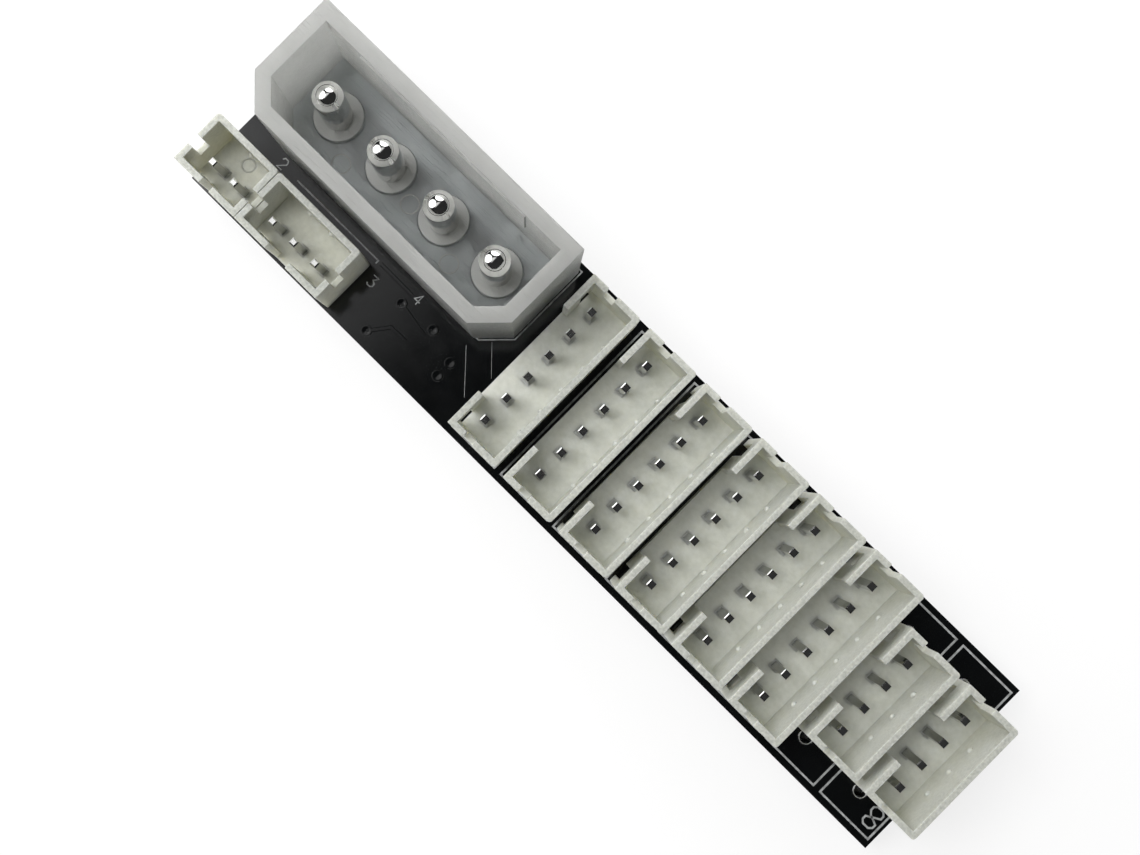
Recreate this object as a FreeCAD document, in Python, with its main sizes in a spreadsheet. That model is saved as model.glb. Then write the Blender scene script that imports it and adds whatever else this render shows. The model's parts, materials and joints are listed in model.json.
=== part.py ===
"""Fan hub: a narrow circuit board with a power header, two control headers and eight ports."""
import os

import FreeCAD
import Part
import Sketcher

# Driving sizes in millimetres. Heights of header features count from the board's upper face.
SIZES = {
    "board_thickness": 1.6,
    "board_end_margin": 0.22,
    "board_side_margin": 0.65,
    "tail_stickout": 1.8,
    # signal pins, shared by all white headers
    "pin_pitch": 2.0,
    "pin_side": 0.5,
    "pin_height": 5.2,
    "pin_point": 0.12,
    "pin_flat": 0.4,
    "pin_clearance": 0.02,
    # white header housings
    "header_end_reach": 1.85,
    "header_front_reach": 1.62,
    "header_back_reach": 2.68,
    "header_height": 6.0,
    "header_floor": 1.3,
    "header_wall": 0.45,
    "header_corner": 0.25,
    "stub_length": 2.9,
    "short_stub_length": 2.4,
    "end_slot_offset": 1.36,
    "end_slot_width": 0.86,
    "end_slot_depth": 2.4,
    "window_offset": 0.56,
    "window_width": 1.05,
    "window_height": 4.2,
    "bump_diameter": 0.44,
    "bump_height": 3.2,
    # places of the white headers on the board
    "port_gap": 0.8,
    "control_edge_margin": 0.28,
    "control_end_margin": 0.0,
    "control_gap": 0.04,
    # power header
    "power_end_margin": 1.4,
    "power_port_gap": 1.18,
    "power_pitch": 5.08,
    "power_length": 22.8,
    "power_depth": 8.4,
    "power_chamfer": 2.0,
    "power_height": 11.2,
    "power_floor": 2.8,
    "power_wall": 1.05,
    "boss_diameter": 3.65,
    "boss_top_diameter": 3.5,
    "boss_height": 0.4,
    "rib_length": 14.6,
    "rib_depth": 0.15,
    "rib_height": 4.1,
    "rib_drop": 0.3,
    # power pins
    "power_pin_diameter": 2.1,
    "power_root_diameter": 1.6,
    "power_pin_height": 9.1,
    "power_nose_diameter": 1.4,
    "power_nose_height": 0.22,
    "power_taper": 0.35,
    "power_tail_diameter": 1.4,
    # board holes and solder
    "signal_hole_diameter": 0.9,
    "signal_fillet_diameter": 1.5,
    "signal_fillet_tip_diameter": 0.9,
    "signal_fillet_height": 1.0,
    "power_hole_diameter": 1.7,
    "power_fillet_diameter": 3.2,
    "power_fillet_tip_diameter": 2.0,
    "power_fillet_height": 1.2,
    # how far a cutting tool runs past the face that it opens
    "cut_margin": 0.5,
}

FAN_PORTS = 6
AUXILIARY_PORTS = 2
FAN_PORT_PINS = 6
AUXILIARY_PORT_PINS = 4
POWER_PINS = 4
PORTS_AFTER_FIRST = FAN_PORTS + AUXILIARY_PORTS - 1

# Layout that follows from the driving sizes. Places count from the board's end and its front edge.
LAYOUT = {
    "header_depth": "=header_front_reach + header_back_reach",
    "port_pitch": "=header_depth + port_gap",
    "port_length": f"={FAN_PORT_PINS - 1} * pin_pitch + 2 * header_end_reach",
    "power_place_along": "=power_end_margin + power_length / 2",
    "first_port_place": "=power_end_margin + power_length + power_port_gap + header_front_reach",
    "last_port_place": f"=first_port_place + {PORTS_AFTER_FIRST} * port_pitch",
    "board_length": "=last_port_place + header_back_reach + board_end_margin",
    "board_width": "=port_length + 2 * board_side_margin",
    "power_place_across": "=board_width - board_side_margin - power_depth / 2",
    "control_row_place": "=control_edge_margin + header_front_reach",
    "power_dome_radius": "=(power_nose_diameter ^ 2 / 4 + power_nose_height ^ 2) / (2 * power_nose_height)",
}

BOARD_TOP = "Sizes.tail_stickout + Sizes.board_thickness"
UP = FreeCAD.Vector(0, 0, 1)
SAME_PLACE = 1e-6

doc = FreeCAD.newDocument("FanHub")


def make_sheet():
    """Writes each driving size and each layout formula into the sheet under its own name."""
    sheet = doc.addObject("Spreadsheet::Sheet", "Sizes")
    cells = {**SIZES, **LAYOUT}
    for row, (name, value) in enumerate(cells.items(), start=1):
        sheet.set(f"A{row}", name)
        sheet.set(f"B{row}", str(value))
        sheet.setAlias(f"B{row}", name)
    doc.recompute()
    return sheet


sheet = make_sheet()


def bind(obj, **expressions):
    """Ties properties of an object to expressions over the sheet."""
    for prop, expression in expressions.items():
        obj.setExpression(prop, expression)
    return obj


def place(obj, x="0", y="0", z="0"):
    """Ties an object's position to expressions over the sheet."""
    for axis, expression in (("x", x), ("y", y), ("z", z)):
        obj.setExpression(f"Placement.Base.{axis}", expression)
    return obj


def box(name, length, width, height, x, y, z):
    """A block whose corner is at x, y, z."""
    block = doc.addObject("Part::Box", name)
    bind(block, Length=length, Width=width, Height=height)
    return place(block, x, y, z)


def cylinder(name, diameter, height, x, y, z):
    """An upright cylinder that stands on x, y, z."""
    rod = doc.addObject("Part::Cylinder", name)
    bind(rod, Radius=f"{diameter} / 2", Height=height)
    return place(rod, x, y, z)


def cone(name, lower_diameter, upper_diameter, height, x, y, z):
    """An upright cone frustum that stands on x, y, z."""
    frustum = doc.addObject("Part::Cone", name)
    bind(frustum, Radius1=f"{lower_diameter} / 2", Radius2=f"{upper_diameter} / 2", Height=height)
    return place(frustum, x, y, z)


def joined(kind, name, members):
    """A boolean or compound of several shapes."""
    result = doc.addObject(kind, name)
    if kind == "Part::Compound":
        result.Links = members
    else:
        result.Shapes = members
    return result


def cut(name, base, tools):
    """The base less all the tools."""
    result = doc.addObject("Part::Cut", name)
    result.Base = base
    if len(tools) == 1:
        result.Tool = tools[0]
    else:
        result.Tool = joined("Part::MultiFuse", f"{name}_tools", tools)
    return result


def pin_places(count):
    """Expressions for the places of a row of pins along the row, about its middle."""
    return [f"({index - (count - 1) / 2}) * Sizes.pin_pitch" for index in range(count)]


def power_places():
    """Expressions for the places of the power pins along their row."""
    return [f"({index - (POWER_PINS - 1) / 2}) * Sizes.power_pitch" for index in range(POWER_PINS)]


class Spot:
    """Where a header stands on the board, and which way its pin row runs."""

    def __init__(self, along, across, turn):
        self.along = f"({along}) - Sizes.board_length / 2"
        self.across = f"({across}) - Sizes.board_width / 2"
        self.turn = turn

    def seat(self, obj, label):
        """Moves a piece made about the origin to this spot and names it."""
        obj.Label = label
        obj.Placement = FreeCAD.Placement(FreeCAD.Vector(), FreeCAD.Rotation(UP, self.turn))
        place(obj, self.along, self.across, BOARD_TOP)
        return obj

    def hole_place(self, along_row):
        """Board place of a hole that lies at a distance along this row."""
        if self.turn:
            return self.along, f"{self.across} - ({along_row})"
        return f"{self.along} + {along_row}", self.across


def header_length(count):
    """Expression for the outer length of a white header."""
    return f"({count - 1} * Sizes.pin_pitch + 2 * Sizes.header_end_reach)"


def round_back_corners(name, block):
    """The block with its two upright rear edges rounded."""
    block.recompute()
    rear = block.Shape.BoundBox.YMax
    radius = sheet.get("header_corner")
    edges = []
    for number, edge in enumerate(block.Shape.Edges, start=1):
        ends = [vertex.Point for vertex in edge.Vertexes]
        run = ends[1] - ends[0]
        upright = abs(run.x) < SAME_PLACE and abs(run.y) < SAME_PLACE
        if upright and abs(ends[0].y - rear) < SAME_PLACE:
            edges.append((number, radius, radius))
    rounded = doc.addObject("Part::Fillet", name)
    rounded.Base = block
    rounded.Edges = edges
    return rounded


def wall_bump(name, count, number):
    """A small round bump inside the rear wall, midway between one pin and the next."""
    bump = doc.addObject("Part::Sphere", name)
    bind(bump, Radius="Sizes.bump_diameter / 2")
    along_row = f"({number - count / 2}) * Sizes.pin_pitch"
    return place(bump, along_row, "Sizes.header_back_reach - Sizes.header_wall", "Sizes.bump_height")


def header_housing(label, spot, count, stub):
    """A white header shroud: open front between two stubs, slotted ends, windows at the stubs' feet."""
    length = header_length(count)
    outer = box(
        f"{label}_outer", length, "Sizes.header_depth", "Sizes.header_height",
        f"-{length} / 2", "-Sizes.header_front_reach", "0",
    )
    body = round_back_corners(f"{label}_body", outer)
    above = "Sizes.header_height - Sizes.header_floor + Sizes.cut_margin"
    cavity = box(
        f"{label}_cavity",
        f"{length} - 2 * Sizes.header_wall", "Sizes.header_depth - 2 * Sizes.header_wall", above,
        f"-{length} / 2 + Sizes.header_wall", "Sizes.header_wall - Sizes.header_front_reach",
        "Sizes.header_floor",
    )
    gap = f"({length} - 2 * {stub})"
    front_gap = box(
        f"{label}_front_gap", gap, "Sizes.header_wall + 2 * Sizes.cut_margin", above,
        f"-{gap} / 2", "-Sizes.header_front_reach - Sizes.cut_margin", "Sizes.header_floor",
    )
    end_slots = box(
        f"{label}_end_slots", f"{length} + 2 * Sizes.cut_margin", "Sizes.end_slot_width",
        "Sizes.end_slot_depth + Sizes.cut_margin",
        f"-{length} / 2 - Sizes.cut_margin", "Sizes.end_slot_offset - Sizes.header_front_reach",
        "Sizes.header_height - Sizes.end_slot_depth",
    )
    tools = [cavity, front_gap, end_slots]
    window_places = (
        f"-{length} / 2 + Sizes.window_offset",
        f"{length} / 2 - Sizes.window_offset - Sizes.window_width",
    )
    for number, where in enumerate(window_places, start=1):
        tools.append(box(
            f"{label}_window_{number}", "Sizes.window_width", "Sizes.header_wall + Sizes.cut_margin",
            "Sizes.window_height + Sizes.cut_margin",
            where, "-Sizes.header_front_reach - Sizes.cut_margin", "-Sizes.cut_margin",
        ))
    hole = "(Sizes.pin_side + 2 * Sizes.pin_clearance)"
    for number, along_row in enumerate(pin_places(count), start=1):
        tools.append(box(
            f"{label}_pin_hole_{number}", hole, hole, "Sizes.header_floor + 2 * Sizes.cut_margin",
            f"{along_row} - {hole} / 2", f"-{hole} / 2", "-Sizes.cut_margin",
        ))
    shell = cut(f"{label}_shell", body, tools)
    bumps = [wall_bump(f"{label}_bump_{number}", count, number) for number in range(1, count)]
    return spot.seat(joined("Part::MultiFuse", f"{label}_shroud", [shell] + bumps), label)


def pin_point(name, along_row, height, angle):
    """The tapered end of a square pin, pointing up or down from the given height."""
    point = doc.addObject("Part::Wedge", name)
    half = "Sizes.pin_side / 2"
    flat = "Sizes.pin_flat / 2"
    bind(
        point, Xmin=f"-{half}", Xmax=half, Zmin=f"-{half}", Zmax=half, Ymin="0", Ymax="Sizes.pin_point",
        X2min=f"-{flat}", X2max=flat, Z2min=f"-{flat}", Z2max=flat,
    )
    point.Placement = FreeCAD.Placement(FreeCAD.Vector(), FreeCAD.Rotation(FreeCAD.Vector(1, 0, 0), angle))
    return place(point, along_row, "0", height)


def header_pins(label, spot, count):
    """The square pins of one white header, from their tails to their points."""
    side = "Sizes.pin_side"
    low = "(Sizes.pin_point - Sizes.board_thickness - Sizes.tail_stickout)"
    high = "(Sizes.pin_height - Sizes.pin_point)"
    pins = []
    for number, along_row in enumerate(pin_places(count), start=1):
        name = f"{label}_{number}"
        shaft = box(
            f"{name}_shaft", side, side, f"{high} - {low}",
            f"{along_row} - {side} / 2", f"-{side} / 2", low,
        )
        upper = pin_point(f"{name}_upper_point", along_row, high, 90)
        lower = pin_point(f"{name}_lower_point", along_row, low, -90)
        pins.append(joined("Part::MultiFuse", name, [shaft, upper, lower]))
    return spot.seat(joined("Part::Compound", f"{label}_row", pins), label)


def solder_joint(name, along_row, kind):
    """Solder that fills one board hole and forms a cone round the pin tail below the board."""
    barrel = cylinder(
        f"{name}_barrel", f"Sizes.{kind}_hole_diameter", "Sizes.board_thickness",
        along_row, "0", "-Sizes.board_thickness",
    )
    height = f"Sizes.{kind}_fillet_height"
    fillet = cone(
        f"{name}_fillet", f"Sizes.{kind}_fillet_tip_diameter", f"Sizes.{kind}_fillet_diameter", height,
        along_row, "0", f"-Sizes.board_thickness - {height}",
    )
    return joined("Part::MultiFuse", name, [barrel, fillet])


def header_solder(label, spot, count):
    """The solder joints of one white header."""
    side = "Sizes.pin_side"
    deep = "Sizes.board_thickness + Sizes.signal_fillet_height + 2 * Sizes.cut_margin"
    joints = []
    tails = []
    for number, along_row in enumerate(pin_places(count), start=1):
        joints.append(solder_joint(f"{label}_{number}", along_row, "signal"))
        tails.append(box(
            f"{label}_{number}_tail", side, side, deep, f"{along_row} - {side} / 2", f"-{side} / 2",
            "-Sizes.board_thickness - Sizes.signal_fillet_height - Sizes.cut_margin",
        ))
    row = joined("Part::Compound", f"{label}_row", joints)
    return spot.seat(cut(f"{label}_joints", row, tails), label)


def white_header(name, spot, count, stub):
    """One white header with its pins and solder, and the board holes that it needs."""
    header_housing(f"{name}_housing", spot, count, stub)
    header_pins(f"{name}_pins", spot, count)
    header_solder(f"{name}_solder", spot, count)
    return [spot.hole_place(along_row) for along_row in pin_places(count)]


def power_outline(name, inset):
    """A rectangle about the origin with its two front corners cut off, inset from the shroud's outer face."""
    length = f"(Sizes.power_length - 2 * {inset})"
    depth = f"(Sizes.power_depth - 2 * {inset})"
    chamfer = f"(Sizes.power_chamfer - {inset} * (2 - sqrt(2)))"
    sketch = doc.addObject("Sketcher::SketchObject", name)
    end = sketch.evalExpression(f"{length} / 2")
    side = sketch.evalExpression(f"{depth} / 2")
    slant = sketch.evalExpression(chamfer)
    left_half = [(slant - end, -side), (-end, slant - side), (-end, side)]
    right_half = [(-x, y) for x, y in reversed(left_half)]
    points = [FreeCAD.Vector(x, y, 0) for x, y in left_half + right_half]
    count = len(points)
    left_slant, left_end, back, right_end, right_slant, front = range(count)
    for line in range(count):
        sketch.addGeometry(Part.LineSegment(points[line], points[(line + 1) % count]), False)
    for line in range(count):
        sketch.addConstraint(Sketcher.Constraint("Coincident", line, 2, (line + 1) % count, 1))
    for line in (left_end, right_end):
        sketch.addConstraint(Sketcher.Constraint("Vertical", line))
    for line in (back, front):
        sketch.addConstraint(Sketcher.Constraint("Horizontal", line))
    origin = (-1, 1)
    driven = [
        ("half_length", "DistanceX", (*origin, back, 2), f"{length} / 2"),
        ("half_depth", "DistanceY", (*origin, back, 2), f"{depth} / 2"),
        ("full_length", "DistanceX", (back, 1, back, 2), length),
        ("left_side", "DistanceY", (left_end, 1, left_end, 2), f"{depth} - {chamfer}"),
        ("right_side", "DistanceY", (right_end, 2, right_end, 1), f"{depth} - {chamfer}"),
        ("right_run", "DistanceX", (right_slant, 2, right_slant, 1), chamfer),
        ("right_rise", "DistanceY", (right_slant, 2, right_slant, 1), chamfer),
        ("left_run", "DistanceX", (left_slant, 2, left_slant, 1), chamfer),
    ]
    for constraint_name, kind, ends, expression in driven:
        value = sketch.evalExpression(expression)
        number = sketch.addConstraint(Sketcher.Constraint(kind, *ends, value))
        sketch.renameConstraint(number, constraint_name)
        sketch.setExpression(f"Constraints.{constraint_name}", expression)
    return sketch


def raised(name, sketch, height, z):
    """A closed outline carried straight up into a solid."""
    place(sketch, "0", "0", z)
    prism = doc.addObject("Part::Extrusion", name)
    prism.Base = sketch
    prism.DirMode = "Custom"
    prism.Dir = UP
    prism.Solid = True
    return bind(prism, LengthFwd=height)


def power_shroud(label, spot):
    """The power header's clear walls, with the rib inside the long one."""
    outer = raised(f"{label}_outer", power_outline(f"{label}_outline", "0"), "Sizes.power_height", "0")
    opening = raised(
        f"{label}_opening", power_outline(f"{label}_opening_outline", "Sizes.power_wall"),
        "Sizes.power_height + 2 * Sizes.cut_margin", "-Sizes.cut_margin",
    )
    walls = cut(f"{label}_walls", outer, [opening])
    rib = box(
        f"{label}_rib", "Sizes.rib_length", "Sizes.rib_depth", "Sizes.rib_height",
        "-Sizes.rib_length / 2", "Sizes.power_depth / 2 - Sizes.power_wall - Sizes.rib_depth",
        "Sizes.power_height - Sizes.rib_drop - Sizes.rib_height",
    )
    return spot.seat(joined("Part::MultiFuse", f"{label}_ribbed", [walls, rib]), label)


def power_floor(label, spot):
    """The power header's floor between its walls, with a boss and a bore for each pin."""
    outline = power_outline(f"{label}_outline", "Sizes.power_wall")
    added = [raised(f"{label}_plate", outline, "Sizes.power_floor", "0")]
    bores = []
    for number, along_row in enumerate(power_places(), start=1):
        added.append(cone(
            f"{label}_boss_{number}", "Sizes.boss_diameter", "Sizes.boss_top_diameter", "Sizes.boss_height",
            along_row, "0", "Sizes.power_floor",
        ))
        bores.append(cylinder(
            f"{label}_bore_{number}", "(Sizes.power_root_diameter + 2 * Sizes.pin_clearance)",
            "Sizes.power_floor + Sizes.boss_height + 2 * Sizes.cut_margin", along_row, "0", "-Sizes.cut_margin",
        ))
    filled = joined("Part::MultiFuse", f"{label}_filled", added)
    return spot.seat(cut(f"{label}_bored", filled, bores), label)


def power_pin(label, spot, along_row):
    """One round power pin: tail, root in the header's floor, shank seated on the boss, taper and domed nose."""
    taper_top = "(Sizes.power_pin_height - Sizes.power_nose_height)"
    shank_top = f"({taper_top} - Sizes.power_taper)"
    tail_length = "(Sizes.board_thickness + Sizes.tail_stickout)"
    tail = cylinder(
        f"{label}_tail", "Sizes.power_tail_diameter", tail_length, along_row, "0", f"-{tail_length}",
    )
    boss_top = "(Sizes.power_floor + Sizes.boss_height)"
    root = cylinder(f"{label}_root", "Sizes.power_root_diameter", boss_top, along_row, "0", "0")
    shank = cylinder(
        f"{label}_shank", "Sizes.power_pin_diameter", f"{shank_top} - {boss_top}", along_row, "0", boss_top,
    )
    taper = cone(
        f"{label}_taper", "Sizes.power_pin_diameter", "Sizes.power_nose_diameter", "Sizes.power_taper",
        along_row, "0", shank_top,
    )
    dome = doc.addObject("Part::Sphere", f"{label}_dome")
    bind(
        dome, Radius="Sizes.power_dome_radius",
        Angle1="asin(1 - Sizes.power_nose_height / Sizes.power_dome_radius)",
    )
    place(dome, along_row, "0", "Sizes.power_pin_height - Sizes.power_dome_radius")
    return spot.seat(joined("Part::MultiFuse", f"{label}_whole", [tail, root, shank, taper, dome]), label)


def power_solder(label, spot):
    """The solder joints of the power pins."""
    deep = "Sizes.board_thickness + Sizes.power_fillet_height + 2 * Sizes.cut_margin"
    joints = []
    tails = []
    for number, along_row in enumerate(power_places(), start=1):
        joints.append(solder_joint(f"{label}_{number}", along_row, "power"))
        tails.append(cylinder(
            f"{label}_{number}_tail", "Sizes.power_tail_diameter", deep, along_row, "0",
            "-Sizes.board_thickness - Sizes.power_fillet_height - Sizes.cut_margin",
        ))
    row = joined("Part::Compound", f"{label}_row", joints)
    return spot.seat(cut(f"{label}_joints", row, tails), label)


def circuit_board(label, signal_holes, power_holes):
    """The board with a drilled hole for each pin."""
    slab = box(
        "board_slab", "Sizes.board_length", "Sizes.board_width", "Sizes.board_thickness",
        "-Sizes.board_length / 2", "-Sizes.board_width / 2", "Sizes.tail_stickout",
    )
    deep = "Sizes.board_thickness + 2 * Sizes.cut_margin"
    start = "Sizes.tail_stickout - Sizes.cut_margin"
    drills = []
    for kind, places in (("signal", signal_holes), ("power", power_holes)):
        for number, (x, y) in enumerate(places, start=1):
            drills.append(cylinder(
                f"board_{kind}_drill_{number}", f"Sizes.{kind}_hole_diameter", deep, x, y, start,
            ))
    board = cut("board_drilled", slab, drills)
    board.Label = label
    return board


def control_spot(end_reach_before, count):
    """The spot of a control header whose end lies at a distance from the board's end."""
    return Spot(f"{end_reach_before} + {header_length(count)} / 2", "Sizes.control_row_place", 0)


def port_spot(number):
    """The spot of a port in the evenly spaced row of ports."""
    return Spot(f"Sizes.first_port_place + {number} * Sizes.port_pitch", "Sizes.board_width / 2", -90)


def build():
    """Makes every piece of the hub."""
    signal_holes = []
    two_pin = control_spot("Sizes.control_end_margin", 2)
    signal_holes += white_header("two_pin_header", two_pin, 2, "Sizes.short_stub_length")
    before_three = f"Sizes.control_end_margin + {header_length(2)} + Sizes.control_gap"
    three_pin = control_spot(before_three, 3)
    signal_holes += white_header("three_pin_header", three_pin, 3, "Sizes.stub_length")
    for index in range(FAN_PORTS):
        name = f"fan_port_{index + 1}"
        signal_holes += white_header(name, port_spot(index), FAN_PORT_PINS, "Sizes.stub_length")
    spare_holes = []
    for index in range(AUXILIARY_PORTS):
        name = f"four_pin_port_{index + 1}"
        spot = port_spot(FAN_PORTS + index)
        signal_holes += white_header(name, spot, AUXILIARY_PORT_PINS, "Sizes.stub_length")
        outer_places = pin_places(FAN_PORT_PINS)
        spare_holes += [spot.hole_place(outer_places[0]), spot.hole_place(outer_places[-1])]

    power = Spot("Sizes.power_place_along", "Sizes.power_place_across", 0)
    power_shroud("power_header_shroud", power)
    power_floor("power_header_floor", power)
    for number, along_row in enumerate(power_places(), start=1):
        power_pin(f"power_pin_{number}", power, along_row)
    power_solder("power_header_solder", power)
    power_holes = [power.hole_place(along_row) for along_row in power_places()]

    circuit_board("circuit_board", signal_holes + spare_holes, power_holes)


def export():
    """Checks every object and writes each finished piece to its own file."""
    doc.recompute()
    for obj in doc.Objects:
        if "Invalid" in obj.State or "Error" in obj.State:
            raise RuntimeError(f"{obj.Label} did not build: {obj.State}")
    os.makedirs("parts", exist_ok=True)
    for obj in doc.Objects:
        if obj.InList or not hasattr(obj, "Shape"):
            continue
        if obj.Shape.isNull() or not obj.Shape.isValid():
            raise RuntimeError(f"{obj.Label} has no valid shape")
        obj.Shape.exportStep(f"parts/{obj.Label}.step")


build()
export()
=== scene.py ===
"""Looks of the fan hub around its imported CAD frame: finishes, board print, low relief, light and camera."""
import json
import math

import bmesh
import bpy
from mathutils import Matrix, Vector


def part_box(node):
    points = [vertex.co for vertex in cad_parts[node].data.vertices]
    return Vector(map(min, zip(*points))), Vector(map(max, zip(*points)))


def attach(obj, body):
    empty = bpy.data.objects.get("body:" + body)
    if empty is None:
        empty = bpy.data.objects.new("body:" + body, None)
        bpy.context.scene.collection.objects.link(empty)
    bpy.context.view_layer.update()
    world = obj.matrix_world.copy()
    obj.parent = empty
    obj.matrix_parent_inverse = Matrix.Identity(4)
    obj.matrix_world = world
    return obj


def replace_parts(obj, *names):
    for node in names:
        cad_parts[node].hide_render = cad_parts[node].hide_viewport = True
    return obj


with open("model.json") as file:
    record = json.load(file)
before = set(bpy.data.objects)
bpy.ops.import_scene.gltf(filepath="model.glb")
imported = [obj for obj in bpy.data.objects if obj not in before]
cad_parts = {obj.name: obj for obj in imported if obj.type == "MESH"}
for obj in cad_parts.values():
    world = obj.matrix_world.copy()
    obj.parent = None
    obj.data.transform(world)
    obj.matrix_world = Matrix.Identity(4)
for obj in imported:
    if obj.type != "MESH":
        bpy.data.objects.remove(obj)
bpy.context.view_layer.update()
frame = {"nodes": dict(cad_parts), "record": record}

MM = 0.001
BODY = "root"
BOARD_LOW, BOARD_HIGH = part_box("circuit_board")
CONTROL_HEADERS = ["two_pin_header", "three_pin_header"]
FAN_PORTS = [f"fan_port_{number}" for number in range(1, 7)]
FOUR_PIN_PORTS = [f"four_pin_port_{number}" for number in range(1, 3)]

# Edges of pieces are sharp where their faces turn by more than an angle, and on faceted pieces everywhere. The
# mouldings' CAD edges are rounded, in millimetres for each slot, where they turn by more than an angle.
SHARP_ANGLE = math.radians(28)
FACETED = 0.0
EDGE_ROUNDING = {"white_nylon": 0.04, "clear_nylon": 0.03}
ROUNDED_ANGLE = math.radians(40)
ROUNDING_STEPS = 2
FLAT_ANGLE = math.radians(1)
WELD_DISTANCE = 1e-6
MITRE_LIMIT = 0.6

# The viewpoint that a fit on the part's own points gave, in millimetres and degrees
CAMERA_PLACE = (-1.905, -4.714, 103.528)
CAMERA_TURN = (3.08, 1.9754, 44.79)
CAMERA_LENS = 45.48
CAMERA_SHIFT = (0.0785, -0.0411)
CAMERA_NEAR = 1.0
SENSOR_WIDTH = 36.0

# Lamps: direction from the hub, distance and width in metres, and power in watts
KEY_LAMP = ((-0.36, -0.11, 0.93), 0.20, 0.10, 0.172)
NEAR_LAMP = ((-0.65, -0.24, 0.72), 0.22, 0.178, 0.20)
FAR_LAMP = ((-0.537, 0.617, 0.58), 0.18, 0.147, 0.155)

# The sky's light, and what shiny surfaces show of it: it is dim above a height, apart from a panel that begins at
# a slope and a height. Part of the floor's white is its own. Its half width is in metres.
SKY_FILL = 0.42
SKY_DIM = 0.03
SKY_DIM_HEIGHT = (0.1, 0.35)
SKY_PANEL_SLOPE = (-0.09, -0.19)
SKY_PANEL_HEIGHT = (0.90, 0.95)
FLOOR_GLOW = 0.75
FLOOR_REACH = 3.0

# Printed lines, in millimetres along and across the board. A low piece sinks a little into what carries it. A
# port's box is set out from its pin row, at a fixed reach from the housing's front, and the first port's box
# begins under its housing.
PRINT_WIDTH = 0.14
PRINT_TOP = 0.02
SINK = 0.01
HEADER_FRONT_REACH = 1.62
PORT_BOX_FRONT = 1.88
FIRST_BOX_FRONT = 1.5
PORT_BOX_BACK = 2.6
PORT_BOX_SIDES = (0.55, 14.5)
POWER_BOX = [(3.06, 6.1), (22.54, 6.1), (24.34, 7.9), (24.34, 14.55), (1.26, 14.55), (1.26, 7.9)]
POWER_BOX_WIDTH = 0.1
CONTROL_LINE = [(5.51, 5.12), (13.62, 5.12), (13.62, 4.85)]
FINE_LINES = [(0.027, [(22.2, 5.22), (24.67, 2.55)]), (0.022, [(23.31, 6.66), (25.08, 4.81)])]

# Plain numbers in place of the board's marks: number, place of the lower left corner, and height. A stroke is as
# wide as a share of the height and a fixed part.
STROKE_SHARE = 0.06
STROKE_LEAST = 0.04
NUMBERS = [("2", 3.7, 4.85, 0.8), ("3", 14.1, 3.4, 0.8), ("4", 17.3, 4.75, 0.8), ("8", 64.1, 1.1, 1.5)]
STROKES = {
    "2": [(0, 0.78), (0.12, 1), (0.48, 1), (0.6, 0.8), (0.6, 0.62), (0, 0), (0.6, 0)],
    "3": [(0, 1), (0.6, 1), (0.28, 0.6), (0.6, 0.42), (0.6, 0.15), (0.45, 0), (0.12, 0), (0, 0.14)],
    "4": [(0.42, 0), (0.42, 1), (0, 0.34), (0.62, 0.34)],
    "8": [(0.14, 0.52), (0, 0.68), (0, 0.86), (0.14, 1), (0.46, 1), (0.6, 0.86), (0.6, 0.68), (0, 0.32), (0, 0.14),
          (0.14, 0), (0.46, 0), (0.6, 0.14), (0.6, 0.32)],
}

# Low relief under the board's mask: traces, and profiles of radius and height turned about an axis. A face that
# rises by less than a limit is one of the board's cut edges.
CUT_EDGE_RISE = 0.5
TRACES = [
    [(16.49, 1.03), (17.58, 2.43), (19.0, 2.45)],
    [(16.91, 4.13), (19.63, 3.66)],
    [(13.9, 5.09), (17.1, 5.06)],
]
TRACE_SECTION = [(-0.16, -SINK), (0.16, -SINK), (0.1, 0.035), (-0.1, 0.035)]
VIAS = [(16.91, 4.13), (16.49, 1.03), (19.79, 4.36), (22.27, 3.56), (22.26, 2.32)]
VIA_PROFILE = [(0.02, -SINK), (0.44, -SINK), (0.4, 0.032), (0.26, 0.04), (0.18, 0.022), (0.02, 0.016)]

# Free holes beside the four-pin ports: a tinned barrel with a narrow rim, and a dark disc closing it below
SPARE_HOLES_ACROSS = (2.5, 12.5)
BARREL_PROFILE = [
    (0.445, -1.48), (0.445, -SINK), (0.54, -SINK), (0.53, 0.02), (0.48, 0.035), (0.43, 0.02), (0.415, -0.03),
    (0.415, -1.48),
]
COVER_PROFILE = [(0.0, -1.6), (0.44, -1.6), (0.44, -1.5), (0.0, -1.5)]

# Moulding marks on the headers' floors
POWER_FLOOR = 2.8
POWER_MARKS = [(12.9, 9.31), (17.69, 8.27), (7.56, 7.96)]
POWER_MARK_PROFILE = [(0.6, -SINK), (0.72, -SINK), (0.69, 0.022), (0.63, 0.022)]
HEADER_FLOOR = 1.3
RING_MARK = (2.66, 3.46)
RING_MARK_PROFILE = [(0.42, -SINK), (0.54, -SINK), (0.52, 0.014), (0.44, 0.014)]

# White nylon: its darker and lighter tone lower down on the ports and on the control headers, and the heights over
# which it goes over into painted shade on its upper parts, in metres above the pin tails
PORT_TONES = ((0.63, 0.64, 0.575), (0.72, 0.73, 0.67))
# The control headers' tones are a yellower nylon, made darker with painted shade for their insides
CONTROL_SHADED_TONES = ((0.52, 0.525, 0.455), (0.60, 0.605, 0.53))
TOP_SHADE_RANGE = (0.0055, 0.0095)

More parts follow.
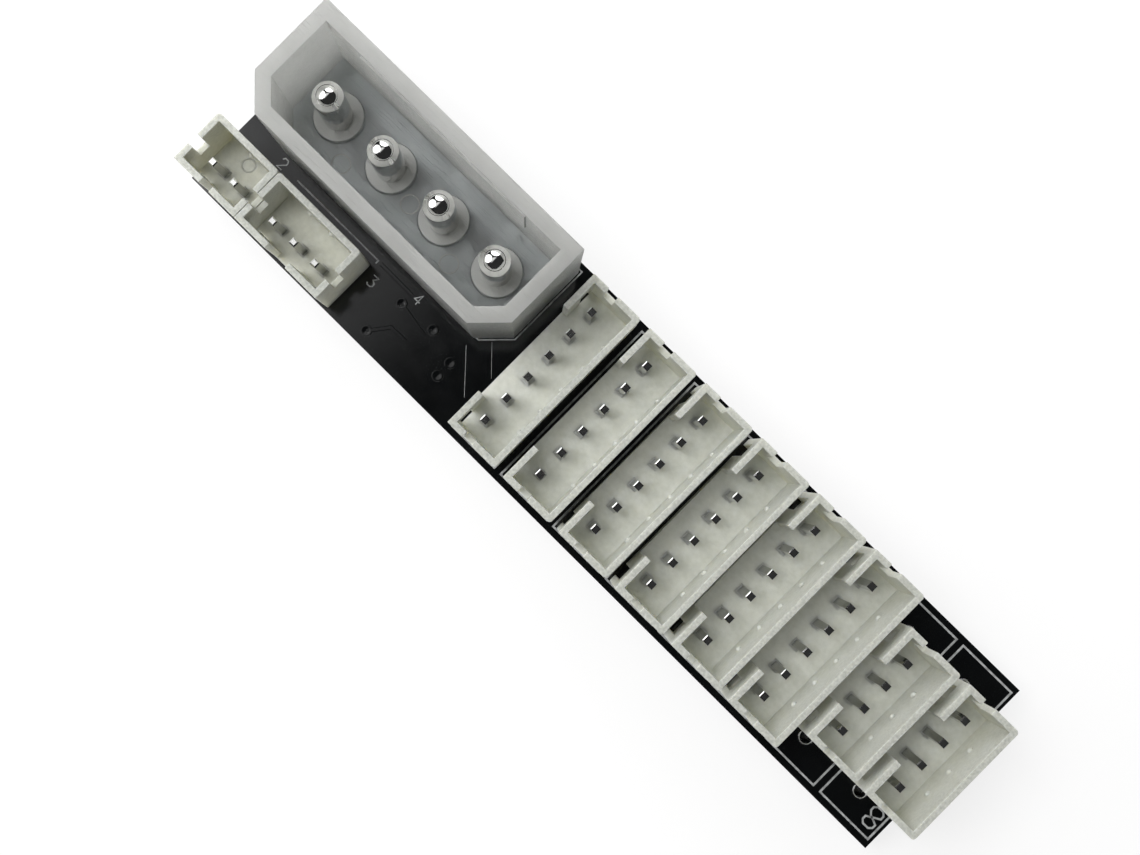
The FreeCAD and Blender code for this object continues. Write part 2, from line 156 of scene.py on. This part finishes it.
# Power header: middle of its pin row on the board, pin pitch, boss radius with its soft edge, shares of light that
# go through the walls, the floor and the floor's matt places, and the turned pins' outline as radius and height
# from the tail to the nose, with a nick where the rolled sheet meets
POWER_MIDDLE = (12.8, 10.15)
POWER_PITCH = 5.08
POWER_PINS = 4
BOSS_RADIUS = 1.75
BOSS_EDGE = 0.05
WALL_CLEARNESS = 0.77
FLOOR_CLEARNESS = 0.87
MATT_CLEARNESS = 0.64
SCRATCH_SHARE = 0.8
HAZE_SHARE = 0.5
PIN_PROFILE = [
    (0.0, -3.4), (0.6, -3.4), (0.7, -3.3), (0.7, -0.02), (0.8, 0.0), (0.8, 3.2), (1.05, 3.2), (1.05, 8.46),
    (1.035, 8.535), (0.73, 8.845), (0.71, 8.79), (0.7, 8.79), (0.695, 8.84), (0.675, 8.885), (0.64, 8.918),
    (0.6, 8.943), (0.5, 8.993), (0.4, 9.033), (0.3, 9.063), (0.2, 9.084), (0.1, 9.096), (0.0, 9.1),
]
PIN_NICK = 0.07
PIN_NICK_RANGE = (8.52, 8.85)

# Square pins of the white headers: their number, pitch, and outline as half width and height from tail to end, on
# the ports and on the control headers, and the moulded seat that rises to each pin, as half width and height above
# the header's floor
SQUARE_PINS = dict(zip(CONTROL_HEADERS, (2, 3)))
SQUARE_PINS.update({port: 6 for port in FAN_PORTS})
SQUARE_PINS.update({port: 4 for port in FOUR_PIN_PORTS})
SQUARE_PITCH = 2.0
SQUARE_TAIL = [(0.0, -3.4), (0.2, -3.4), (0.25, -3.28)]
PORT_PROFILE = SQUARE_TAIL + [(0.25, 5.176), (0.19, 5.2), (0.0, 5.2)]
CONTROL_PROFILE = SQUARE_TAIL + [(0.25, 5.13), (0.15, 5.2), (0.0, 5.2)]
SEAT_PROFILE = [(0.24, -SINK), (0.42, -SINK), (0.34, 0.012), (0.24, 0.06)]


def on_board(x, y, z=0.0):
    """A place in millimetres along and across the board and above its upper face, in the scene's metres."""
    return Vector((BOARD_LOW.x + x * MM, BOARD_LOW.y + y * MM, BOARD_HIGH.z + z * MM))


class Graph:
    """A node tree that is put together from a few kinds of node."""

    def __init__(self, tree):
        self.tree = tree

    def feed(self, value, socket):
        """Gives an input a value or links it to an output."""
        if isinstance(value, bpy.types.NodeSocket):
            self.tree.links.new(value, socket)
        else:
            socket.default_value = value

    def add(self, kind, settings=None, **inputs):
        """A node whose inputs take values or other nodes' outputs."""
        node = self.tree.nodes.new(kind)
        for name, value in (settings or {}).items():
            setattr(node, name, value)
        for socket, value in inputs.items():
            self.feed(value, node.inputs[socket.replace("_", " ")])
        return node

    def math(self, operation, first, second=0.0):
        """One arithmetic step."""
        node = self.add("ShaderNodeMath", {"operation": operation})
        self.feed(first, node.inputs[0])
        self.feed(second, node.inputs[1])
        return node.outputs[0]

    def span(self, value, low, high):
        """0 at low to 1 at high, with soft ends."""
        node = self.add(
            "ShaderNodeMapRange", {"interpolation_type": "SMOOTHSTEP"}, Value=value, From_Min=low, From_Max=high,
        )
        return node.outputs[0]

    def mix(self, factor, first, second):
        """One colour going over into another."""
        node = self.add("ShaderNodeMix", {"data_type": "RGBA"})
        for socket, value in zip((node.inputs[0], node.inputs[6], node.inputs[7]), (factor, first, second)):
            self.feed((*value, 1) if isinstance(value, tuple) else value, socket)
        return node.outputs[2]

    def vector(self, operation, first, second):
        """One step with two vectors."""
        node = self.add("ShaderNodeVectorMath", {"operation": operation})
        self.feed(first, node.inputs[0])
        self.feed(second, node.inputs[1])
        return node.outputs["Value" if operation == "DOT_PRODUCT" else "Vector"]

    def axis(self, vector, name):
        """One part of a vector."""
        return self.add("ShaderNodeSeparateXYZ", Vector=vector).outputs[name]

    def seen(self):
        """1 for rays that show the surroundings as a picture, and 0 for those that only carry light."""
        rays = self.add("ShaderNodeLightPath").outputs
        direct = self.math("MAXIMUM", rays["Is Camera Ray"], rays["Is Glossy Ray"])
        return self.math("MAXIMUM", direct, rays["Is Transmission Ray"])

    def shaders(self, factor, first, second):
        """Two shaders mixed into one."""
        node = self.add("ShaderNodeMixShader", Fac=factor)
        self.feed(first, node.inputs[1])
        self.feed(second, node.inputs[2])
        return node.outputs[0]


class Finish(Graph):
    """A surface material with procedural texture."""

    def __init__(self, name, **constants):
        self.material = bpy.data.materials.new(name)
        self.material.use_nodes = True
        super().__init__(self.material.node_tree)
        self.shader = self.tree.nodes["Principled BSDF"]
        self.surface(**constants)

    def surface(self, **sockets):
        """Sets or links the shader's inputs."""
        for socket, value in sockets.items():
            name = socket.replace("_", " ").title().replace("Ior", "IOR")
            self.feed(value, self.shader.inputs[name])
        return self.material

    def place(self):
        """The surface point in the object's own coordinates."""
        return self.add("ShaderNodeTexCoord").outputs["Object"]

    def facing(self, name):
        """One part of the surface's own direction."""
        return self.axis(self.add("ShaderNodeNewGeometry").outputs["Normal"], name)

    def noise(self, size, detail=2.0, stretch=(1, 1, 1)):
        """Cloudy grey with patches of about the given size in millimetres."""
        scale = [1 / (size * MM * along) for along in stretch]
        scaled = self.add("ShaderNodeMapping", Vector=self.place(), Scale=scale)
        return self.add("ShaderNodeTexNoise", Vector=scaled.outputs[0], Scale=1.0, Detail=detail).outputs[0]

    def ramp(self, factor, *stops):
        """Colours or greys set along a factor, as pairs of position and value."""
        node = self.add("ShaderNodeValToRGB", Fac=factor)
        elements = node.color_ramp.elements
        while len(elements) < len(stops):
            elements.new(0.5)
        for element, (position, value) in zip(elements, stops):
            element.position = position
            element.color = (*value, 1) if isinstance(value, tuple) else (value, value, value, 1)
        return node.outputs["Color"]

    def bump(self, height, depth, under=None):
        """Raises the surface by a grey height, up to a depth in millimetres."""
        node = self.add("ShaderNodeBump", Height=height, Distance=depth * MM, Strength=1.0)
        if under:
            self.feed(under, node.inputs["Normal"])
        return node.outputs[0]


def board_finish():
    """Glossy black solder mask, with the raw laminate showing along the cut edges."""
    finish = Finish("board_mask", ior=1.5)
    mask = finish.ramp(finish.noise(4.0), (0.3, (0.0016, 0.002, 0.0022)), (0.7, (0.0034, 0.004, 0.0044)))
    layers = finish.noise(0.5, 4.0, stretch=(2.0, 2.0, 0.2))
    laminate = finish.ramp(layers, (0.35, (0.012, 0.011, 0.010)), (0.72, (0.05, 0.042, 0.036)))
    edge = finish.math("LESS_THAN", finish.math("ABSOLUTE", finish.facing("Z")), CUT_EDGE_RISE)
    gloss = finish.ramp(finish.noise(1.5, 4.0), (0.3, 0.08), (0.75, 0.15))
    return finish.surface(
        base_color=finish.mix(edge, mask, laminate),
        roughness=finish.mix(edge, gloss, (0.7, 0.7, 0.7)),
        normal=finish.bump(finish.noise(1.0, 3.0), 0.0012),
    )


def white_nylon_finish(name, dark, light):
    """Grey-white moulded nylon that light soaks into a little: two tones lower down, painted shade higher up."""
    finish = Finish(
        name, ior=1.53, subsurface_weight=0.6, subsurface_scale=1.0 * MM, subsurface_radius=(1.0, 0.95, 0.8),
    )
    patches = finish.noise(0.4, 6.0)
    lower_tone = finish.ramp(patches, (0.3, dark), (0.7, light))
    # Painted shade: upper parts, most of all those that face up, go over into a darker frosted grain
    frost = finish.noise(0.18, 5.0)
    shaded_frost = finish.ramp(frost, (0.32, (0.35, 0.36, 0.33)), (0.68, (0.51, 0.52, 0.48)))
    height = finish.span(finish.axis(finish.place(), "Z"), *TOP_SHADE_RANGE)
    upward = finish.ramp(finish.facing("Z"), (0.3, 0.75), (0.8, 1.0))
    cloud = finish.mix(finish.math("MULTIPLY", height, upward), lower_tone, shaded_frost)
    grain = finish.ramp(finish.noise(0.22, 4.0), (0.3, 0.38), (0.7, 0.55))
    relief = finish.bump(finish.noise(0.25, 4.0), 0.014)
    return finish.surface(base_color=cloud, roughness=grain, normal=relief)


def clear_nylon_finish(name, tint):
    """Hazy see-through nylon with scratches: the finish, its cloudy colour and the scratches' mask."""
    finish = Finish(
        name, ior=1.45, subsurface_weight=0.3, subsurface_scale=0.5 * MM, subsurface_radius=(1.0, 1.0, 1.0),
    )
    thin = tuple(0.85 * part for part in tint)
    thick = tuple(0.95 * part for part in tint)
    cloud = finish.ramp(finish.noise(2.2, 5.0), (0.3, thin), (0.7, thick))
    grain = finish.ramp(finish.noise(0.3, 4.0), (0.3, 0.34), (0.7, 0.5))
    fine = finish.bump(finish.noise(0.2, 3.0), 0.006)
    scratches = finish.ramp(finish.noise(0.05, 2.0, stretch=(50.0, 1.0, 1.0)), (0.6, 0.0), (0.68, 1.0))
    finish.surface(base_color=cloud, roughness=grain, normal=finish.bump(scratches, 0.012, fine))
    return finish, cloud, scratches


def power_shroud_finish():
    """The hazy nylon of the power header's walls, with painted shade in a greyer speckled grain on their outer
    faces.
    """
    finish, cloud, _ = clear_nylon_finish("clear_nylon", (1.0, 1.005, 0.97))
    middle = on_board(*POWER_MIDDLE)
    spot = finish.vector("SUBTRACT", finish.place(), (middle.x, middle.y, 0.0))
    level = finish.vector("MULTIPLY", spot, (1.0, 1.0, 0.0))
    facing = finish.add("ShaderNodeNewGeometry").outputs["Normal"]
    outside = finish.span(finish.vector("DOT_PRODUCT", facing, level), 0.5 * MM, 1.5 * MM)
    # Painted shade: the outer faces go over into a darker grey, in a speckled grain
    shaded_specks = finish.ramp(finish.noise(0.1, 3.0), (0.36, (0.48, 0.49, 0.48)), (0.64, (0.62, 0.63, 0.61)))
    return finish.surface(base_color=finish.mix(outside, cloud, shaded_specks), transmission_weight=WALL_CLEARNESS)


def power_floor_finish():
    """The same nylon over the dark board, with matt bosses round the pins and patches of pale scratches."""
    finish, cloud, scratches = clear_nylon_finish("clear_nylon_floor", (0.93, 0.98, 0.98))
    middle = on_board(*POWER_MIDDLE)
    spot = finish.vector("SUBTRACT", finish.place(), (middle.x - 2 * POWER_PITCH * MM, middle.y, 0.0))
    along = finish.math("PINGPONG", finish.axis(spot, "X"), POWER_PITCH / 2 * MM)
    along = finish.math("SUBTRACT", along, POWER_PITCH / 2 * MM)
    across = finish.axis(spot, "Y")
    squares = finish.math("ADD", finish.math("MULTIPLY", along, along), finish.math("MULTIPLY", across, across))
    outer, inner = (BOSS_RADIUS + BOSS_EDGE) * MM, (BOSS_RADIUS - BOSS_EDGE) * MM
    boss = finish.span(finish.math("SQRT", squares), outer, inner)
    worn = finish.math("MULTIPLY", finish.span(finish.noise(3.0), 0.45, 0.6), scratches)
    haze = finish.math("MULTIPLY", finish.span(finish.noise(1.3, 6.0), 0.4, 0.7), HAZE_SHARE)
    marks = finish.math("MAXIMUM", haze, finish.math("MULTIPLY", worn, SCRATCH_SHARE))
    matt = finish.math("MAXIMUM", boss, marks)
    return finish.surface(
        base_color=finish.mix(boss, cloud, (0.88, 0.885, 0.85)),
        transmission_weight=finish.ramp(matt, (0.0, FLOOR_CLEARNESS), (1.0, MATT_CLEARNESS)),
    )


def power_pin_finish():
    """Bright tin over brass, with faint turning lines."""
    finish = Finish("power_pin_tin", metallic=1.0)
    lines = finish.noise(0.12, 3.0, stretch=(8.0, 8.0, 1.0))
    colour = finish.ramp(finish.noise(0.9, 3.0), (0.3, (0.62, 0.62, 0.61)), (0.7, (0.76, 0.76, 0.75)))
    rough = finish.ramp(lines, (0.3, 0.04), (0.7, 0.1))
    return finish.surface(base_color=colour, roughness=rough, normal=finish.bump(lines, 0.001))


def tinned_pin_finish():
    """Drawn square wire under a dull tin coat, with bright cut ends."""
    finish = Finish("tinned_wire", metallic=1.0)
    lines = finish.noise(0.05, 3.0, stretch=(1.0, 1.0, 30.0))
    sides = finish.ramp(lines, (0.3, (0.38, 0.38, 0.36)), (0.7, (0.50, 0.50, 0.48)))
    end = finish.span(finish.facing("Z"), 0.5, 0.9)
    rough = finish.ramp(finish.noise(0.3, 2.0), (0.3, 0.06), (0.7, 0.14))
    return finish.surface(
        base_color=finish.mix(end, sides, (0.82, 0.82, 0.81)), roughness=rough, normal=finish.bump(lines, 0.0002),
    )


def solder_finish():
    """Shiny solder with a slightly uneven skin."""
    finish = Finish("solder", metallic=1.0)
    patches = finish.noise(0.4, 4.0)
    colour = finish.ramp(patches, (0.3, (0.52, 0.53, 0.54)), (0.7, (0.72, 0.72, 0.72)))
    rough = finish.ramp(patches, (0.3, 0.14), (0.7, 0.3))
    return finish.surface(base_color=colour, roughness=rough, normal=finish.bump(finish.noise(0.25, 2.0), 0.01))


def ink_finish():
    """Thin white ink with worn spots."""
    finish = Finish("legend_ink")
    worn = finish.noise(0.35, 4.0)
    colour = finish.ramp(worn, (0.28, (0.17, 0.17, 0.17)), (0.5, (0.33, 0.34, 0.34)), (0.75, (0.46, 0.47, 0.47)))
    rough = finish.ramp(worn, (0.3, 0.5), (0.7, 0.7))
    return finish.surface(base_color=colour, roughness=rough, normal=finish.bump(finish.noise(0.1, 2.0), 0.002))


FINISHES = {
    "board": board_finish(),
    "white_nylon": white_nylon_finish("white_nylon", *PORT_TONES),
    "clear_nylon": power_shroud_finish(),
    "power_pin": power_pin_finish(),
    "tinned_pin": tinned_pin_finish(),
    "solder": solder_finish(),
    "legend_ink": ink_finish(),
}
# Nylon of the control headers and of the seats and marks in them: yellower, and darker with painted shade
CONTROL_SHADED_NYLON = white_nylon_finish("control_nylon_shaded", *CONTROL_SHADED_TONES)
OWN_FINISHES = {"power_header_floor": power_floor_finish()}
OWN_FINISHES.update({f"{header}_housing": CONTROL_SHADED_NYLON for header in CONTROL_HEADERS})


def soften(node, width):
    """Rounds a moulding's sharp edges, in millimetres, over its unchanged CAD mesh."""
    weld = node.modifiers.new("weld", "WELD")
    weld.merge_threshold = WELD_DISTANCE
    flat = node.modifiers.new("flat_faces", "DECIMATE")
    flat.decimate_type = "DISSOLVE"
    flat.angle_limit = FLAT_ANGLE
    bevel = node.modifiers.new("soft_edges", "BEVEL")
    bevel.width = width * MM
    bevel.segments = ROUNDING_STEPS
    bevel.limit_method = "ANGLE"
    bevel.angle_limit = ROUNDED_ANGLE
    bevel.use_clamp_overlap = False
    bevel.harden_normals = True


def dress_frame():
    """Gives every CAD node its own finish or that of its record slot, and the mouldings soft edges."""
    for entry in frame["record"]["subparts"]:
        node = frame["nodes"][entry["node"]]
        slot = entry["material_slot"]
        node.data.materials.clear()
        node.data.materials.append(OWN_FINISHES.get(entry["node"], FINISHES[slot]))
        if slot in EDGE_ROUNDING:
            soften(node, EDGE_ROUNDING[slot])


def add_piece(name, mesh, slot, sharp=SHARP_ANGLE, finish=None):
    """Makes a built mesh a piece that rides on the hub, in its own finish or its slot's."""
    bmesh.ops.recalc_face_normals(mesh, faces=mesh.faces)
    for face in mesh.faces:
        face.smooth = True
    for edge in mesh.edges:
        edge.smooth = edge.calc_face_angle(0.0) < sharp
    data = bpy.data.meshes.new(name)
    mesh.to_mesh(data)
    mesh.free()
    piece = bpy.data.objects.new(name, data)
    bpy.context.scene.collection.objects.link(piece)
    data.materials.append(finish or FINISHES[slot])
    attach(piece, BODY)
    return piece


def loop_faces(mesh, first, second):
    """Joins two rings of corners with a band of faces."""
    for corner in range(len(first)):
        following = (corner + 1) % len(first)
        mesh.faces.new((first[corner], first[following], second[following], second[corner]))


def ribbon(mesh, points, section, closed=False):
    """A low band along places on the board, with mitred corners. The section holds pairs of offset and height."""
    count = len(points)
    places = [Vector(point) for point in points]
    rings = []
    for index, here in enumerate(places):
        runs = []
        if closed or index:
            runs.append((here - places[index - 1]).normalized())
        if closed or index < count - 1:
            runs.append((places[(index + 1) % count] - here).normalized())
        sides = [Vector((-run.y, run.x)) for run in runs]
        side = sum(sides, Vector((0, 0))).normalized()
        side /= max(side.dot(sides[0]), MITRE_LIMIT)
        spots = [(here + side * offset, height) for offset, height in section]
        rings.append([mesh.verts.new(on_board(spot.x, spot.y, height)) for spot, height in spots])
    for index in range(count if closed else count - 1):
        loop_faces(mesh, rings[index], rings[(index + 1) % count])
    if not closed:
        mesh.faces.new(rings[0])
        mesh.faces.new(rings[-1])


def turn(segments, start=0.0):
    """Even steps of angle round an axis."""
    return [start + math.tau * step / segments for step in range(segments)]


ROUND = turn(32)
SMOOTH_ROUND = turn(64)
SQUARE = turn(4, math.pi / 4)


def ring_at(mesh, x, y, angles, radius, height):
    """Corners round an upright axis at a place on the board."""
    spots = [(x + radius * math.cos(angle), y + radius * math.sin(angle)) for angle in angles]
    return [mesh.verts.new(on_board(*spot, height)) for spot in spots]


def lathe(mesh, x, y, profile, base=0.0, angles=ROUND):
    """A closed ring about an upright axis. The profile is a loop of radius and height above the base."""
    rings = [ring_at(mesh, x, y, angles, radius, base + height) for radius, height in profile]
    for first, second in zip(rings, rings[1:] + rings[:1]):
        loop_faces(mesh, first, second)


def post(mesh, x, y, profile, angles):
    """A closed post about an upright axis. The profile runs from the middle of its foot to that of its top."""
    rings = [ring_at(mesh, x, y, angles, radius, height) for radius, height in profile[1:-1]]
    for first, second in zip(rings, rings[1:]):
        loop_faces(mesh, first, second)
    for ring, (_, height) in ((rings[0], profile[0]), (rings[-1], profile[-1])):
        tip = mesh.verts.new(on_board(x, y, height))
        for corner, following in zip(ring, ring[1:] + ring[:1]):
            mesh.faces.new((corner, following, tip))
    return rings


def square(profile):
    """A profile of half widths, as radii of the corners."""
    return [(half * math.sqrt(2), height) for half, height in profile]


def add_power_pins():
    """Bright turned pins with domed noses, in place of the coarser CAD ones."""
    for number in range(POWER_PINS):
        x = POWER_MIDDLE[0] + (number - (POWER_PINS - 1) / 2) * POWER_PITCH
        y = POWER_MIDDLE[1]
        mesh = bmesh.new()
        rings = post(mesh, x, y, PIN_PROFILE, SMOOTH_ROUND)
        for ring, (_, height) in zip(rings, PIN_PROFILE[1:-1]):
            if PIN_NICK_RANGE[0] < height < PIN_NICK_RANGE[1]:
                ring[0].co.x -= PIN_NICK * MM
        piece = add_piece(f"turned_pin_{number + 1}", mesh, "power_pin")
        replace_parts(piece, f"power_pin_{number + 1}")


def square_pin_places(header):
    """Places of a white header's pins on the board, in millimetres."""
    low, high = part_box(f"{header}_pins")
    middle = ((low + high) / 2 - BOARD_LOW) / MM
    count = SQUARE_PINS[header]
    steps = [(number - (count - 1) / 2) * SQUARE_PITCH for number in range(count)]
    if high.x - low.x > high.y - low.y:
        return [(middle.x + step, middle.y) for step in steps]
    return [(middle.x, middle.y + step) for step in steps]


def add_square_pins(headers, profile, seats_name, nylon):
    """Square pins with chamfered ends, in place of the CAD ones, and the moulded seats round their feet."""
    seats = bmesh.new()
    for header in headers:
        mesh = bmesh.new()
        for x, y in square_pin_places(header):
            post(mesh, x, y, square(profile), SQUARE)
            lathe(seats, x, y, square(SEAT_PROFILE), HEADER_FLOOR, SQUARE)
        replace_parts(add_piece(f"{header}_contacts", mesh, "tinned_pin", sharp=FACETED), f"{header}_pins")
    add_piece(seats_name, seats, "white_nylon", finish=nylon)


def print_section(width):
    """Flat cross-section of an ink line."""
    half = width / 2
    return [(-half, -SINK), (half, -SINK), (half, PRINT_TOP), (-half, PRINT_TOP)]


def row_place(port):
    """Place of a port's pin row along the board, in millimetres."""
    low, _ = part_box(f"{port}_housing")
    return (low.x - BOARD_LOW.x) / MM + HEADER_FRONT_REACH


def add_print():
    """The printed boxes round the ports, lines by the other headers, and plain numbers."""
    mesh = bmesh.new()
    low, high = PORT_BOX_SIDES
    for port in FAN_PORTS + FOUR_PIN_PORTS:
        front = row_place(port) - (FIRST_BOX_FRONT if port == FAN_PORTS[0] else PORT_BOX_FRONT)
        back = row_place(port) + PORT_BOX_BACK
        box = [(front, low), (back, low), (back, high), (front, high)]
        ribbon(mesh, box, print_section(PRINT_WIDTH), closed=True)
    ribbon(mesh, POWER_BOX, print_section(POWER_BOX_WIDTH), closed=True)
    ribbon(mesh, CONTROL_LINE, print_section(POWER_BOX_WIDTH))
    for width, line in FINE_LINES:
        ribbon(mesh, line, print_section(width))
    for number, x, y, height in NUMBERS:
        stroke = [(x + across * height, y + up * height) for across, up in STROKES[number]]
        ribbon(mesh, stroke, print_section(STROKE_SHARE * height + STROKE_LEAST), closed=(number == "8"))
    add_piece("board_print", mesh, "legend_ink")


def spare_holes():
    """Places of the holes that the four-pin ports leave free, in millimetres."""
    return [(row_place(port), across) for port in FOUR_PIN_PORTS for across in SPARE_HOLES_ACROSS]


def add_board_relief():
    """Traces and covered vias standing a little proud under the mask, and dark discs closing the free holes below.
    """
    mesh = bmesh.new()
    for trace in TRACES:
        ribbon(mesh, trace, TRACE_SECTION)
    for x, y in VIAS:
        lathe(mesh, x, y, VIA_PROFILE)
    for x, y in spare_holes():
        post(mesh, x, y, COVER_PROFILE, ROUND)
    add_piece("board_relief", mesh, "board")


def add_spare_pads():
    """Tinned barrels of the free holes."""
    mesh = bmesh.new()
    for x, y in spare_holes():
        lathe(mesh, x, y, BARREL_PROFILE)
    add_piece("spare_pads", mesh, "solder")


def add_mould_marks():
    """Rings that ejector pins left on the floors of the power header and the two-pin header."""
    mesh = bmesh.new()
    for x, y in POWER_MARKS:
        lathe(mesh, x, y, POWER_MARK_PROFILE, POWER_FLOOR)
    add_piece("power_mould_marks", mesh, "clear_nylon")
    mesh = bmesh.new()
    lathe(mesh, *RING_MARK, RING_MARK_PROFILE, HEADER_FLOOR)
    add_piece("header_mould_marks", mesh, "white_nylon", finish=CONTROL_SHADED_NYLON)


def add_floor():
    """A pale floor under the hub that shows white and keeps the hub's shadow."""
    mesh = bmesh.new()
    bmesh.ops.create_grid(mesh, x_segments=1, y_segments=1, size=FLOOR_REACH)
    data = bpy.data.meshes.new("floor")
    mesh.to_mesh(data)
    mesh.free()
    plane = bpy.data.objects.new("floor", data)
    bpy.context.scene.collection.objects.link(plane)
    finish = Finish("floor", roughness=0.9, specular_ior_level=0.0)
    finish.surface(base_color=finish.ramp(finish.noise(40.0), (0.3, 0.92), (0.7, 0.95)))
    glow = finish.add("ShaderNodeEmission", Strength=1.0).outputs[0]
    share = finish.math("MULTIPLY", finish.seen(), FLOOR_GLOW)
    shown = finish.shaders(share, finish.shader.outputs[0], glow)
    finish.feed(shown, finish.tree.nodes["Material Output"].inputs["Surface"])
    data.materials.append(finish.material)


def add_lamp(name, direction, distance, width, power, mirrored):
    """A round soft light that faces the hub, which shiny surfaces show only if it is mirrored."""
    data = bpy.data.lights.new(name, "AREA")
    data.shape = "DISK"
    data.size = width
    data.energy = power
    lamp = bpy.data.objects.new(name, data)
    bpy.context.scene.collection.objects.link(lamp)
    lamp.location = Vector(direction).normalized() * distance
    lamp.rotation_euler = (-lamp.location).to_track_quat("-Z", "Y").to_euler()
    lamp.visible_glossy = mirrored


def add_light():
    """Soft lamps on the power header's side, under a sky that is white to look at and dim in reflections."""
    add_lamp("key_lamp", *KEY_LAMP, mirrored=False)
    add_lamp("near_lamp", *NEAR_LAMP, mirrored=True)
    add_lamp("far_lamp", *FAR_LAMP, mirrored=True)
    world = bpy.data.worlds.new("studio")
    bpy.context.scene.world = world
    world.use_nodes = True
    sky = Graph(world.node_tree)
    direction = sky.add("ShaderNodeTexCoord").outputs["Generated"]
    height = sky.axis(direction, "Z")
    slope = sky.math("DIVIDE", sky.axis(direction, "X"), height)
    panel = sky.math("MULTIPLY", sky.span(slope, *SKY_PANEL_SLOPE), sky.span(height, *SKY_PANEL_HEIGHT))
    above = sky.math("MULTIPLY", sky.span(height, *SKY_DIM_HEIGHT), sky.math("SUBTRACT", 1.0, panel))
    mirrored = sky.add("ShaderNodeLightPath").outputs["Is Glossy Ray"]
    tint = sky.mix(sky.math("MULTIPLY", above, mirrored), (1.0, 1.0, 1.0), (SKY_DIM, SKY_DIM, SKY_DIM))
    fill = world.node_tree.nodes["Background"]
    fill.inputs["Color"].default_value = (1, 1, 1, 1)
    fill.inputs["Strength"].default_value = SKY_FILL
    shown = sky.add("ShaderNodeBackground", Color=tint, Strength=1.0)
    sky.feed(
        sky.shaders(sky.seen(), fill.outputs[0], shown.outputs[0]),
        world.node_tree.nodes["World Output"].inputs["Surface"],
    )


def add_camera():
    """The photograph's viewpoint, nearly straight down."""
    data = bpy.data.cameras.new("camera")
    data.sensor_width = SENSOR_WIDTH
    data.lens = CAMERA_LENS
    data.shift_x, data.shift_y = CAMERA_SHIFT
    data.clip_start = CAMERA_NEAR * MM
    camera = bpy.data.objects.new("camera", data)
    bpy.context.scene.collection.objects.link(camera)
    camera.location = [value * MM for value in CAMERA_PLACE]
    camera.rotation_euler = [math.radians(value) for value in CAMERA_TURN]
    bpy.context.scene.camera = camera


dress_frame()
add_power_pins()
add_square_pins(CONTROL_HEADERS, CONTROL_PROFILE, "control_pin_seats", CONTROL_SHADED_NYLON)
add_square_pins(FAN_PORTS + FOUR_PIN_PORTS, PORT_PROFILE, "pin_seats", FINISHES["white_nylon"])
add_print()
add_board_relief()
add_spare_pads()
add_mould_marks()
add_floor()
add_light()
add_camera()
bpy.context.scene.view_settings.view_transform = "Standard"
